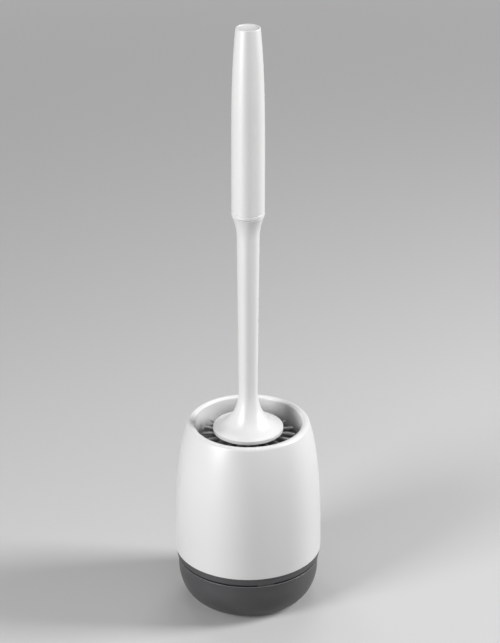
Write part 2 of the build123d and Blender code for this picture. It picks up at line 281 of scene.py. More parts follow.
def group_of(name, inputs, outputs, fill):
    """The node group of this name, made once. Its sockets carry numbers, apart from Vector."""
    group = bpy.data.node_groups.get(name)
    if group:
        return group
    group = bpy.data.node_groups.new(name, "ShaderNodeTree")
    for way, labels in (("INPUT", inputs), ("OUTPUT", outputs)):
        for label in labels:
            kind = "NodeSocketVector" if label == "Vector" else "NodeSocketFloat"
            group.interface.new_socket(name=label, in_out=way, socket_type=kind)
    fill(group, group.nodes.new("NodeGroupInput").outputs, group.nodes.new("NodeGroupOutput").inputs)
    return group


def node(tree, kind, **values):
    """A node of this kind, with its properties set, and its sockets set or linked, by name."""
    made = tree.nodes.new(kind)
    for label, value in values.items():
        if hasattr(made, label):
            setattr(made, label, value)
        else:
            feed(tree, made.inputs[label.replace("_", " ")], value)
    return made


def feed(tree, socket, value):
    """Links a socket to another node's output, or sets its value."""
    if isinstance(value, bpy.types.NodeSocket):
        tree.links.new(value, socket)
    else:
        socket.default_value = value


def noise(tree, vector, scale, detail, roughness):
    made = node(tree, "ShaderNodeTexNoise", Vector=vector, Scale=scale, Detail=detail, Roughness=roughness)
    return made.outputs["Fac"]


def ranged(tree, value, limits, low=0.0, high=1.0):
    """The value, stretched so that the two limits become low and high."""
    first, last = limits
    made = node(tree, "ShaderNodeMapRange", Value=value, From_Min=first, From_Max=last, To_Min=low, To_Max=high)
    return made.outputs["Result"]


def mixed(tree, kind, share, first, second):
    """Two numbers (FLOAT) or colours (RGBA), mixed by share."""
    made = node(tree, "ShaderNodeMix", data_type=kind)
    first_socket, second_socket, output = {"FLOAT": (2, 3, 0), "RGBA": (6, 7, 2)}[kind]
    feed(tree, made.inputs[0], share)
    feed(tree, made.inputs[first_socket], first)
    feed(tree, made.inputs[second_socket], second)
    return made.outputs[output]


def calculated(tree, operation, first, second, clamped=False):
    made = node(tree, "ShaderNodeMath", operation=operation, use_clamp=clamped)
    feed(tree, made.inputs[0], first)
    feed(tree, made.inputs[1], second)
    return made.outputs[0]


def point_mask(tree, label):
    return node(tree, "ShaderNodeAttribute", attribute_name=label).outputs["Fac"]


def moulded_skin(tree, given, result):
    """Skin of an injection moulding: a fine grain, a slow waviness, and patches of slightly different gloss."""
    grain = noise(tree, given["Vector"], given["Grain scale"], detail=3.0, roughness=0.55)
    wave = noise(tree, given["Vector"], given["Patch scale"], detail=1.0, roughness=0.4)
    patch = noise(tree, given["Vector"], given["Patch scale"], detail=4.0, roughness=0.5)
    gloss = ranged(tree, patch, PATCH_RANGE, given["Roughness low"], given["Roughness high"])
    feed(tree, result["Tone"], ranged(tree, patch, PATCH_RANGE))
    feed(tree, result["Roughness"], gloss)
    feed(tree, result["Height"], mixed(tree, "FLOAT", given["Wave share"], grain, wave))


def worn_and_lit_edge(tree, given, result):
    """Lighter, smoother corners in broken patches: partly wear from hands and the floor, partly a painted highlight.
    """
    breaks = noise(tree, given["Vector"], given["Break scale"], detail=5.0, roughness=0.65)
    on_edge = calculated(tree, "MULTIPLY", ranged(tree, breaks, BREAK_RANGE), given["Edge"])
    feed(tree, result["Mask"], calculated(tree, "MULTIPLY", on_edge, given["Amount"], clamped=True))


# Name, inputs, outputs and contents of the node groups
MOULDED_SKIN = (
    "Moulded skin", ("Vector", "Grain scale", "Patch scale", "Wave share", "Roughness low", "Roughness high"),
    ("Tone", "Roughness", "Height"), moulded_skin,
)
WORN_AND_LIT_EDGE = "Polished edge", ("Vector", "Edge", "Break scale", "Amount"), ("Mask",), worn_and_lit_edge
PLASTIC_IOR = 1.5
BREAKS_PER_PATCH = 6  # texture scale of the breaks in the lighter corners (wear and painted highlight) over that of the patches
POLISHED_SHARE = 0.7  # roughness of a rubbed corner over the smoothest patch


def shade(colour, factor):
    return tuple(min(1.0, c * factor) for c in colour[:3]) + (1.0,)


def new_material(name):
    """A new material, its node tree and the inputs of its shader."""
    made = bpy.data.materials.new(name)
    made.use_nodes = True
    return made, made.node_tree, made.node_tree.nodes["Principled BSDF"].inputs


def plastic(
    name, colour, deep, pale, grain, patch, roughness, bump, edge, wave=0.25, coat=(0.0, 0.3), rubbed_and_lit=1.25, along=None,
    painted_tip_light=1.0,
):
    """A moulded material. `deep` and `pale` are the colour's factors in the darkest and lightest patches, `grain`
    and `patch` are texture scales per metre, `roughness` is a (low, high) pair, `bump` the depth of the grain in
    metres, `wave` the share of slow waviness in it, `edge` the strength of the lighter, smoother corners, which are
    partly wear and partly a painted highlight, `rubbed_and_lit` the colour's factor there, and `coat` the weight and
    roughness of a clear coat. `along` names a mask, and `painted_tip_light` is the colour's factor where that mask
    is 1: painted light that grows along the mask."""
    made, tree, shader = new_material(name)
    made.diffuse_color = shade(colour, 1.0)
    shader["IOR"].default_value = PLASTIC_IOR
    shader["Coat Weight"].default_value, shader["Coat Roughness"].default_value = coat
    place = tree.nodes.new("ShaderNodeTexCoord").outputs["Object"]
    smoothest, roughest = roughness
    skin = node(
        tree, "ShaderNodeGroup", node_tree=group_of(*MOULDED_SKIN), Vector=place, Grain_scale=grain, Patch_scale=patch,
        Wave_share=wave, Roughness_low=smoothest, Roughness_high=roughest,
    ).outputs
    wear_and_highlight = node(
        tree, "ShaderNodeGroup", node_tree=group_of(*WORN_AND_LIT_EDGE), Vector=place, Edge=point_mask(tree, "edge"),
        Break_scale=patch * BREAKS_PER_PATCH, Amount=edge,
    ).outputs["Mask"]
    surface = mixed(tree, "RGBA", skin["Tone"], shade(colour, deep), shade(colour, pale))
    # Towards the far end of that mask the colour turns lighter: painted light
    if along:
        surface = mixed(tree, "RGBA", point_mask(tree, along), surface, shade(colour, pale * painted_tip_light))
    # Corners turn lighter where the edge mask is: partly wear, partly a painted highlight
    feed(tree, shader["Base Color"], mixed(tree, "RGBA", wear_and_highlight, surface, shade(colour, pale * rubbed_and_lit)))
    feed(tree, shader["Roughness"], mixed(tree, "FLOAT", wear_and_highlight, skin["Roughness"], smoothest * POLISHED_SHARE))
    relief = node(tree, "ShaderNodeBump", Strength=1.0, Distance=bump, Height=skin["Height"])
    feed(tree, shader["Normal"], relief.outputs["Normal"])
    return made


# For each slot of the record, the setting with its colour and how its surface is made
FINISHES = {
    "white_plastic": ("white", dict(
        deep=0.97, pale=1.0, grain=2600, patch=18, roughness=(0.38, 0.44), bump=0.000008, wave=0.3, edge=0.15,
        coat=(1.0, 0.38),
    )),
    # The dark plastic's corners turn much lighter: on the tray's lip this is a painted highlight line, with some wear
    "dark_plastic": ("dark", dict(
        deep=0.88, pale=1.08, grain=3200, patch=24, roughness=(0.36, 0.46), bump=0.00002, wave=0.2, edge=2.4,
        rubbed_and_lit=3.4,
    )),
    "plate_plastic": ("plate", dict(
        deep=0.85, pale=1.1, grain=2400, patch=30, roughness=(0.5, 0.62), bump=0.00003, edge=0.3,
    )),
    "core_plastic": ("core", dict(
        deep=0.93, pale=1.02, grain=1800, patch=22, roughness=(0.45, 0.55), bump=0.00003, edge=0.2,
    )),
    # Prongs are painted lighter towards their tips as painted light, and darker towards their roots as painted shade
    "bristle_rubber": ("bristle", dict(
        deep=0.35, pale=0.5, grain=2200, patch=60, roughness=(0.28, 0.36), bump=0.00001, edge=0.3,
        coat=(1.0, 0.18), rubbed_and_lit=2.6, along="along", painted_tip_light=2.6,
    )),
    "foot_rubber": ("foot", dict(
        deep=0.8, pale=1.25, grain=3000, patch=90, roughness=(0.68, 0.82), bump=0.00005, edge=0.6,
    )),
}


def finish_of(context, slot):
    """The material for one of the record's slots, made once. Its name differs from that of the frame's own plain
    material, which carries the slot's name."""
    name = f"{slot}_finish"
    tint, surface = FINISHES[slot]
    return bpy.data.materials.get(name) or plastic(name, getattr(context.scene.brush_finishes, tint), **surface)


def place_piece(context, piece, body, slot, *nodes):
    """Gives a new piece the finish of its slot and its body, and hides the nodes that it stands for."""
    piece.data.materials.append(finish_of(context, slot))
    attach(piece, body)
    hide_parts(*nodes)


# ---------------------------------------------------------------- settings


def length(label, description, default):
    return FloatProperty(
        name=label, description=description, default=default, min=0.0, precision=5, subtype="DISTANCE", unit="LENGTH"
    )


def mm(label, description, default):
    return length(label, description, default * MM)


def angle(label, description, default):
    return FloatProperty(
        name=label, description=description, default=math.radians(default), subtype="ANGLE", unit="ROTATION"
    )


def plain(label, description, default, **limits):
    return FloatProperty(name=label, description=description, default=default, **limits)


def count(label, description, default, low=0):
    return IntProperty(name=label, description=description, default=default, min=low)


def colour(label, description, default):
    return FloatVectorProperty(
        name=label, description=description, default=default, size=3, min=0.0, max=1.0, subtype="COLOR"
    )


def watts(label, default):
    return plain(label, "Light of this panel, in watts", default, min=0.0)


class BrushFinishes(bpy.types.PropertyGroup):
    white: colour("White", "Colour of the shell, stem and grip", (0.83, 0.83, 0.825))
    dark: colour("Dark", "Colour of the ring, tray and tip cap", (0.069, 0.069, 0.072))
    plate: colour("Plate", "Colour of the drain plate", (0.05, 0.05, 0.052))
    core: colour("Core", "Colour of the core and the grip's socket", (0.55, 0.55, 0.54))
    bristle: colour("Prongs", "Colour of the rubber prongs", (0.33, 0.33, 0.334))
    foot: colour("Pads", "Colour of the rubber pads", (0.02, 0.02, 0.02))


class ShellSettings(bpy.types.PropertyGroup):
    foot_radius: length("Foot radius", "Radius at the shell's foot", half_width(SHELL_LOW, SHELL_HIGH))
    wall: mm("Wall", "Thickness of the shell", 2.2)
    foot_pull: mm("Foot pull", "How far the side's curve keeps upright from the foot", 46.3)
    shoulder_pull: mm("Shoulder pull", "How far the curve keeps its lean below the shoulder", 21.7)
    shoulder_lean: angle("Shoulder lean", "Angle from upright where the side meets the rim", 16.6)
    mouth_radius: mm("Mouth radius", "Radius of the mouth", 38.0)
    mouth_round: mm("Mouth round", "Round between the rim's top and the mouth", 0.7)
    rim_width: mm("Rim width", "Mouth's edge to the rim's highest circle", 2.7)
    rim_round: mm("Rim round", "Radius of the rim's outer roll", 2.6)
    rim_slope: angle("Rim slope", "Fall of the rim's top towards the mouth", 22.0)
    skirt_height: mm("Skirt height", "Crest of the rim to the lower edge of the skirt round the mouth", 18.0)
    skirt_wall: mm("Skirt wall", "Thickness of the skirt", 1.8)
    skirt_draft: mm("Skirt draft", "How much the skirt is wider at its lower edge", 0.3)
    pocket_drop: mm("Pocket drop", "Crest of the rim to the top of the pocket behind the skirt", 7.0)
    edge: mm("Foot edge", "Round on the shell's foot", 0.35)
    segments: count("Segments", "Faces round the shell", 256, 32)


class BaseSettings(bpy.types.PropertyGroup):
    band_radius: length("Band radius", "Radius of the visible band", half_width(RING_LOW, RING_HIGH))
    band_height: mm("Band height", "Height of the visible band", 5.1)
    band_edge: mm("Band edge", "Round on the band's corners", 0.35)
    # The band's lighter corners are a small share of the lip's: wear and painted highlight
    band_wear_and_highlight: plain("Band wear", "How much the band's corners are rubbed, where 1 is as much as the lip", 0.1)
    spigot_clearance: mm("Spigot clearance", "Gap between spigot and shell", 0.2)
    spigot_wall: mm("Spigot wall", "Thickness of the spigot", 2.0)
    ledge_rise: mm("Ledge rise", "Underside of the band to the ledge for the plate", 3.6)
    leg_wall: mm("Leg wall", "Thickness of the legs", 2.0)
    leg_bevel: mm("Leg bevel", "Round on the legs' ends", 0.3)
    leg_clearance: mm("Leg clearance", "Gap between the legs and the tray", 0.4)
    leg_sweep: plain("Leg sweep", "Width of a leg in degrees", 40.0)
    lip_radius: length("Lip radius", "Radius of the tray's lip", half_width(TRAY_LOW, TRAY_HIGH))
    lip_flare: mm("Lip flare", "How much the lip is wider than the belly", 0.6)
    lip_edge: mm("Lip edge", "Round on the tray's lip", 1.3)
    flat_radius: mm("Flat radius", "Radius of the bowl's flat bottom", 32.5)
    belly_height: mm("Belly height", "Height where the bowl's side stands upright", 26.0)
    tray_wall: mm("Tray wall", "Thickness of the tray", 2.4)
    vent: mm("Vent", "Height of the gap between lip and band", 1.7)
    key_width: mm("Key width", "Width of a key round the lip", 12.0)
    key_wall: mm("Key wall", "Depth of a key", 2.2)
    key_setback: mm("Key setback", "Lip's outside to the keys", 0.5)
    key_root: mm("Key root", "How deep a key starts below the lip's top", 0.5)
    key_bevel: mm("Key bevel", "Round on the keys' ends", 0.2)
    key_angle: plain("Key angle", "Place of the front key, in degrees", -75.0)
    key_count: count("Keys", "Keys on the lip", 3, 1)
    pad_radius: mm("Pad radius", "Radius of a rubber pad", 6.0)
    pad_circle: mm("Pad circle", "Radius of the circle that the pads stand on", 24.0)
    pad_dish: mm("Pad dish", "How deep a pad's underside is hollowed", 0.25)
    pad_edge: mm("Pad edge", "Round on a pad's edge", 0.5)
    segments: count("Segments", "Faces round the ring and the tray", 256, 32)


class HeadSettings(bpy.types.PropertyGroup):
    prongs: count("Prongs", "Prongs in a ring", 20, 3)
    hub_radius: mm("Hub radius", "Radius of a ring's hub", 9.5)
    hub_edge: mm("Hub edge", "Round on the hub's corners", 0.35)
    bore_radius: mm("Bore radius", "Radius of the hole in a ring's hub", 6.6)
    root_size: mm("Root size", "Width of a prong at the hub", 2.6)
    tip_size: mm("Tip size", "Width of a prong near its end", 1.9)
    end_length: mm("End length", "Length of a prong's rounded end", 0.9)
    wander: mm("Wander", "How far a prong's tip strays from its place", 0.7)
    shortening: mm("Shortening", "Half of how much shorter a prong can be than the next", 0.6)
    root_depth: mm("Root depth", "How deep a prong starts inside the hub", 0.6)
    squareness: plain("Squareness", "2 is a round section, 8 nearly square", 3.2, min=2.0)
    tip_edge: mm("Tip edge", "Round on the tip cap's upper edge", 0.4)
    tip_flat_radius: mm("Tip flat", "Radius of the flat under the tip cap", 7.5)
    seed: count("Seed", "Start of the prongs' random strays", 11)


class StemSettings(bpy.types.PropertyGroup):
    disc_radius: length("Disc radius", "Radius of the cover disc", half_width(STEM_LOW, STEM_HIGH))
    disc_edge: mm("Disc edge", "Height of the disc's edge", 2.6)
    edge_round: mm("Edge round", "Round on the disc's corners", 0.5)
    flare_height: mm("Flare height", "Height of the trumpet", 28.0)
    waist_radius: mm("Waist radius", "Radius where the trumpet ends", 6.6)
    shaft_top: mm("Shaft top", "Radius of the shaft below the neck", 7.75)
    neck_height: mm("Neck height", "Height of the neck under the collar", 15.95)
    neck_top: mm("Neck top", "Radius of the neck at the collar", 10.95)
    wall: mm("Trumpet wall", "Thickness of the trumpet", 2.2)
    bore: mm("Bore", "Radius of the bore for the core's screw", 4.6)
    screw_radius: mm("Screw radius", "Radius of the screw into the grip", 6.4)
    segments: count("Segments", "Faces round the stem", 192, 32)


class GripSettings(bpy.types.PropertyGroup):
    radius: length("Radius", "Radius of the grip's straight part", half_width(GRIP_LOW, GRIP_HIGH))
    straight: mm("Straight", "Length of the straight part", 44.3)
    lower_pull: mm("Lower pull", "How far the curve keeps upright above it", 42.4)
    top_radius: mm("Top radius", "Radius at the top", 8.25)
    top_pull: mm("Top pull", "How far the curve keeps its lean below the top", 21.0)
    top_lean: angle("Top lean", "Angle from upright at the top", 5.5)
    wall: mm("Wall", "Thickness of the grip", 2.2)
    rim_round: mm("Rim round", "Round on the grip's top edge", 0.6)
    joint_edge: mm("Joint edge", "Chamfer on each side of the joint with the collar", 0.3)
    collar_edge: mm("Collar edge", "Chamfer on the collar's lower edge", 0.9)
    cap_radius: mm("Cap hole", "Radius of the hole for the end cap", 7.0)
    cap_thickness: mm("Cap thickness", "Thickness of the end cap", 1.6)
    cap_dish: mm("Cap dish", "How far the cap's top is hollowed", 0.4)
    segments: count("Segments", "Faces round the grip", 192, 32)


class StageSettings(bpy.types.PropertyGroup):
    floor: colour("Floor", "Colour of the floor", (0.62, 0.62, 0.62))
    floor_bounce: plain("Floor bounce", "Share of its light that the floor throws back", 0.15)
    floor_roughness: plain("Floor roughness", "Roughness of the floor", 0.6)
    floor_gloss: plain("Floor gloss", "Strength of the floor's reflections, where 0.5 is usual", 0.3)
    floor_size: length("Floor size", "Half the width of the floor", 9.0)
    backdrop: plain("Backdrop", "Brightness of the backdrop, where 1 is white", 0.46)
    fade_start: length("Fade start", "Distance at which the floor starts to fade into the backdrop", 0.35)
    fade_end: length("Fade end", "Distance at which the floor has faded into the backdrop", 1.8)
    camera_distance: length("Camera distance", "Camera to the brush's axis, along the floor", 1.4913)
    camera_height: length("Camera height", "Height of the camera", 0.908)
    camera_pitch: angle("Camera pitch", "How far the camera looks down", 24.94)
    camera_turn: angle("Camera turn", "How far the camera looks to the right of the brush", 0.05)
    lens: plain("Lens", "Focal length in millimetres", 134.18, min=1.0)
    left_panel: watts("Left panel", 15.3)
    right_panel: watts("Right panel", 23.5)
    front_panel: watts("Front panel", 1.2)
    top_panel: watts("Top panel", 1.8)
    back_panel: watts("Back panel", 3.5)
    ambient: plain("Ambient", "Strength of the light from all round", 0.03, min=0.0)


# ---------------------------------------------------------------- pieces


class BRUSH_OT_shell(bpy.types.Operator):
    """Builds the white shell: a barrel that leans in towards a rolled rim"""

    bl_idname = "brush.build_shell"
    bl_label = "Shell"

    def execute(self, context):
        s = context.scene.brush_shell
        tilt, slope = math.degrees(s.shoulder_lean), math.degrees(s.rim_slope)
        foot, rim = SHELL_LOW.z, SHELL_HIGH.z
        crest = np.array([s.mouth_radius + s.rim_width, rim - s.rim_round])
        outward = np.array([math.cos(s.shoulder_lean), math.sin(s.shoulder_lean)])
        shoulder = crest + outward * s.rim_round
        inner = shoulder - outward * s.wall
        bore = s.foot_radius - s.wall
        # The rim's two rounds touch one line, which falls towards the mouth
        offset = (s.mouth_round - s.rim_width) * math.tan(s.rim_slope)
        edge_level = crest[1] + (s.rim_round - s.mouth_round) / math.cos(s.rim_slope) + offset
        mouth = (s.mouth_radius + s.mouth_round, edge_level)
        # Under the rim a skirt hangs round the mouth, with a narrow pocket between it and the side
        skirt_low, pocket = rim - s.skirt_height, rim - s.pocket_drop
        skirt_in = s.mouth_radius + s.skirt_wall
        hollow = cubic(inner, inner - lean(tilt, s.shoulder_pull), (bore, foot + s.foot_pull), (bore, foot), count=60)
        hollow = hollow[hollow[:, 1] < pocket]
        hollow[0, 1] = pocket
        profile = chain(
            cubic(
                (s.foot_radius, foot), (s.foot_radius, foot + s.foot_pull),
                shoulder - lean(tilt, s.shoulder_pull), shoulder, count=64,
            ),
            arc(crest, s.rim_round, tilt, 90.0 + slope, count=18),
            arc(mouth, s.mouth_round, 90.0 + slope, 180.0, count=9),
            line((s.mouth_radius, edge_level), (s.mouth_radius + s.skirt_draft, skirt_low), count=8),
            points((skirt_in, skirt_low), (skirt_in, pocket), hollow[0]),
            hollow[1:],
        )
        shell = lathe("shell", profile, s.segments, s.edge)
        place_piece(context, shell, "holder", "white_plastic", "outer_shell")
        return {"FINISHED"}


BEVEL_FROM = 50.0  # degrees
PAD_SEGMENTS = 48
PAD_ANGLES = (90.0, 210.0, 330.0)
PAD_HOLLOW = (0.45, 0.62)  # inner and outer edge of the slope round a pad's hollow, as shares of its radius


class BRUSH_OT_base(bpy.types.Operator):
    """Builds the dark base: the ring with its legs, the drip tray with its keys, and the rubber pads"""

    bl_idname = "brush.build_base"
    bl_label = "Base"

    def execute(self, context):
        s = context.scene.brush_base
        self.build_ring(context, s)
        self.build_tray(context, s)
        self.build_pads(context, s)
        return {"FINISHED"}

    def build_ring(self, context, s):
        shell = context.scene.brush_shell
        under = TRAY_HIGH.z
        mouth = s.lip_radius - s.lip_flare - s.tray_wall
        leg_out = mouth - s.leg_clearance
        leg_in = leg_out - s.leg_wall
        spigot_out = shell.foot_radius - shell.wall - s.spigot_clearance
        spigot_in = spigot_out - s.spigot_wall
        shoulder, ledge, top = under + s.band_height, under + s.ledge_rise, RING_HIGH.z
        profile = points(
            (leg_in, under), (s.band_radius, under), (s.band_radius, shoulder), (spigot_out, shoulder),
            (spigot_out, top), (spigot_in, top), (spigot_in, ledge), (leg_in, ledge),
        )
        outline, edge = soften(profile, s.band_edge)
        leg = rectangle(leg_in, leg_out, RING_LOW.z, under)
        ring = turned(outline, s.segments), grid_faces(s.segments, len(outline))
        # The band's corners take a small share of the lighter corners: wear and painted highlight
        band = self.with_sectors(s, "base_band", ring, s.band_wear_and_highlight * edge, leg, s.leg_sweep, steps=24)
        self.bevel(band, s.leg_bevel)
        place_piece(context, band, "holder", "dark_plastic", "base_ring")

    def build_tray(self, context, s):
        lip_top = TRAY_HIGH.z - s.vent
        low = TRAY_LOW.z
        belly = s.lip_radius - s.lip_flare
        mouth = belly - s.tray_wall
        radius, bend = bow(lip_top - s.belly_height, s.lip_flare)
        floor_top = low + s.tray_wall
        profile = chain(
            line((0.0, low), (s.flat_radius, low), count=12),
            quarter((s.flat_radius, low), (belly, low), (belly, s.belly_height), count=44),
            arc((belly + radius, s.belly_height), radius, 180.0, 180.0 - bend, count=10),
            points((mouth, lip_top), (mouth, s.belly_height + MM), (mouth, s.belly_height)),
            quarter((mouth, s.belly_height), (mouth, floor_top), (s.flat_radius, floor_top), count=28),
            line((s.flat_radius, floor_top), (0.0, floor_top), count=8),
        )
        outline, edge = soften(profile, s.lip_edge, closed=False)
        outer = s.lip_radius - s.key_setback
        key = rectangle(outer - s.key_wall, outer, lip_top - s.key_root, TRAY_HIGH.z)
        bowl = turned(outline, s.segments), grid_faces(s.segments, len(outline), wrap_columns=False)
        sweep = math.degrees(s.key_width / s.lip_radius)
        # The lip's corners carry the edge mask in full, and the dark finish turns it into a lighter line: a painted
        # highlight, with some wear
        tray = self.with_sectors(s, "tray_bowl", bowl, edge, key, sweep, steps=12)
        self.bevel(tray, s.key_bevel)
        place_piece(context, tray, "tray", "dark_plastic", "drip_tray")

    def with_sectors(self, s, name, whole, edge, section, sweep, steps):
        """A turned piece, given as its points and quads, with a short run of another section at each key's place."""
        centres = s.key_angle + 360.0 / s.key_count * np.arange(s.key_count)
        vertices, faces = joined([whole] + [capped_sector(section, at - sweep / 2, sweep, steps) for at in centres])
        rest = np.zeros(len(vertices) - len(whole[0]))
        return make_object(name, vertices, faces, {"edge": np.concatenate([np.tile(edge, s.segments), rest])})

    def build_pads(self, context, s):
        high = PADS_HIGH.z
        slope_in, slope_out = (share * s.pad_radius for share in PAD_HOLLOW)
        profile = points(
            (0.0, s.pad_dish), (slope_in, s.pad_dish), (slope_out, 0.0), (s.pad_radius, 0.0), (s.pad_radius, high),
            (0.0, high),
        )
        outline, edge = soften(profile, s.pad_edge, closed=False)
        round_pad = turned(outline, PAD_SEGMENTS), grid_faces(PAD_SEGMENTS, len(outline), wrap_columns=False)
        spots = np.radians(PAD_ANGLES)
        pads = [
            (round_pad[0] + s.pad_circle * np.array([math.cos(spot), math.sin(spot), 0.0]), round_pad[1])
            for spot in spots
        ]
        vertices, faces = joined(pads)
        made = make_object("floor_pads", vertices, faces, {"edge": np.tile(edge, PAD_SEGMENTS * len(spots))})
        place_piece(context, made, "tray", "foot_rubber", "foot_pads")

    def bevel(self, piece, width):
        """Rounds what is still sharp, such as the ends of the keys and the legs."""
        rounding = piece.modifiers.new("Rounded corners", "BEVEL")
        rounding.width = width
        rounding.segments = 2
        rounding.limit_method = "ANGLE"
        rounding.angle_limit = math.radians(BEVEL_FROM)


# A prong's mesh: sides, rows along the shaft, rows over the rounded end as shares of its length, and how far the
# last row closes. The last three are the faces round small turned pieces.
PRONG_SIDES = 8
PRONG_ROWS = 5
PRONG_END_ROWS = (0.55, 0.88, 1.0)
PRONG_END_CLOSE = 0.995
RING_SEEDS = 100  # random seeds from one head's first ring to the next head's
HUB_SEGMENTS = 40
TIP_SEGMENTS = 96
CAP_SEGMENTS = 128


class BRUSH_OT_head(bpy.types.Operator):
    """Builds the brush head: twelve rings of soft prongs, and the tip cap under them"""

    bl_idname = "brush.build_head"
    bl_label = "Head"

    def execute(self, context):
        s = context.scene.brush_head
        for index, name in enumerate(RING_NODES):
            self.build_ring(context, s, index, name)
        self.build_tip(context, s)
        return {"FINISHED"}

    def prong(self, s, root, reach):
        """One prong along +X. Its half width is w(x) = root/2 + (tip/2 - root/2) x/l, times
        sqrt(1 - e^2) over the rounded end, and its section is the superellipse |y|^n + |z|^n = w^n."""
        end = np.array(PRONG_END_ROWS)
        start = 1.0 - s.end_length / (reach - root)
        along = np.concatenate([np.linspace(0.0, start, PRONG_ROWS), start + (1.0 - start) * end])
        half = (s.root_size + (s.tip_size - s.root_size) * along) / 2
        half[PRONG_ROWS:] *= np.sqrt(1.0 - end**2 * PRONG_END_CLOSE)
        turn = np.linspace(0.0, 2 * math.pi, PRONG_SIDES, endpoint=False) + math.pi / PRONG_SIDES
        across, upright = (np.sign(at) * np.abs(at) ** (2.0 / s.squareness) for at in (np.cos(turn), np.sin(turn)))
        out = np.tile((root + (reach - root) * along)[:, None], (1, PRONG_SIDES))
        return np.stack([out, np.outer(half, across), np.outer(half, upright)], axis=-1), along

    def build_ring(self, context, s, index, name):
        low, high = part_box(name)
        level = (low.z + high.z) / 2
        reach = half_width(low, high)
        root = s.hub_radius - s.root_depth
        grid, along = self.prong(s, root, reach)
        rows, columns = grid.shape[:2]
        stray = np.random.default_rng(s.seed * RING_SEEDS + index).uniform(-1.0, 1.0, (s.prongs, 3))
        # Every second ring is turned by half of the way from one prong to the next
        turn = np.radians(360.0 / s.prongs * (np.arange(s.prongs) + 0.5 * (index % 2)))
        # Each prong bends a little, by the square of its length, sideways and up or down
        bend = along[:, None] ** 2 * s.wander
        x = grid[None, :, :, 0] - (along**4)[None, :, None] * s.shortening * (1 + stray[:, 2])[:, None, None]
        y = grid[None, :, :, 1] + bend[None] * stray[:, 0][:, None, None]
        z = grid[None, :, :, 2] + bend[None] * stray[:, 1][:, None, None] + level
        cos, sin = np.cos(turn)[:, None, None], np.sin(turn)[:, None, None]
        places = np.stack([x * cos - y * sin, x * sin + y * cos, z], axis=-1)
        side = grid_faces(rows, columns, wrap_rows=False)
        # Three quads close each end of the eight-sided shaft
        ends = np.array([[0, 1, 2, 3], [0, 3, 4, 7], [4, 5, 6, 7]])
        shut = np.concatenate([ends, (rows - 1) * columns + ends[:, ::-1]])
        one = np.concatenate([side, shut])
        prongs = [(places[k].reshape(-1, 3), one) for k in range(s.prongs)]
        outline, _ = soften(rectangle(s.bore_radius, s.hub_radius, low.z, high.z), s.hub_edge)
        hub = turned(outline, HUB_SEGMENTS), grid_faces(HUB_SEGMENTS, len(outline))
        vertices, faces = joined([hub] + prongs)
        # Mask for painted light along each prong: 0 on the hub and at the roots, which stay darker as painted shade, 1
        # at the tips, which are painted lighter
        fade = np.concatenate([np.zeros(len(hub[0])), np.tile(np.repeat(along**2, columns), s.prongs)])
        made = make_object(f"prongs_{index + 1:02d}", vertices, faces, {"along": fade})
        place_piece(context, made, "brush", "bristle_rubber", name)

    def build_tip(self, context, s):
        radius = half_width(TIP_LOW, TIP_HIGH)
        low, high = TIP_LOW.z, TIP_HIGH.z
        profile = chain(
            line((0.0, low), (s.tip_flat_radius, low), count=4),
            quarter((s.tip_flat_radius, low), (radius, low), (radius, high), count=20),
            points((0.0, high)),
        )
        tip = lathe("tip_nut", profile, TIP_SEGMENTS, s.tip_edge, closed=False)
        place_piece(context, tip, "brush", "dark_plastic", "tip_cap")


class BRUSH_OT_stem(bpy.types.Operator):
    """Builds the stem: the cover disc, the trumpet above it, the shaft and the neck under the grip"""

    bl_idname = "brush.build_stem"
    bl_label = "Stem"

    def execute(self, context):
        s = context.scene.brush_stem
        low, top = STEM_LOW.z, STEM_HIGH.z
        disc_top = low + s.disc_edge
        flare_top = disc_top + s.flare_height
        collar = COLLAR_LOW.z
        neck = collar - s.neck_height
        radius, bend = bow(s.neck_height, s.neck_top - s.shaft_top)
        hub = context.scene.brush_head.hub_radius
        hollow = s.disc_radius - s.wall
        # The trumpet's underside is the same ellipse, one wall further in
        wide, tall = s.disc_radius - s.waist_radius + s.wall, s.flare_height + s.wall
        first = math.asin(min(1.0, (flare_top - low) / tall)) if tall > flare_top - low else math.pi / 2
        last = math.acos((s.disc_radius - hub) / wide)
        t = np.linspace(first, last, 24)
        underside = np.stack([s.disc_radius - wide * np.cos(t), flare_top - tall * np.sin(t)], axis=1)
        underside = underside[(underside[:, 0] < hollow) & (underside[:, 1] > low)]
        profile = chain(
            points((hub, low), (s.bore, low), (s.bore, top), (s.screw_radius, top), (s.screw_radius, collar)),
            points((s.neck_top, collar)),
            arc((s.shaft_top + radius, neck), radius, 180.0 - bend, 180.0, count=24)[1:],
            line((s.shaft_top, neck), (s.waist_radius, flare_top), count=24),
            quarter((s.waist_radius, flare_top), (s.waist_radius, disc_top), (s.disc_radius, disc_top), count=72),
            points((s.disc_radius, low), (hollow, low)),
            underside,
        )
        stem = lathe("stem_and_cover", profile, s.segments, s.edge_round)
        place_piece(context, stem, "brush", "white_plastic", "stem")
        return {"FINISHED"}


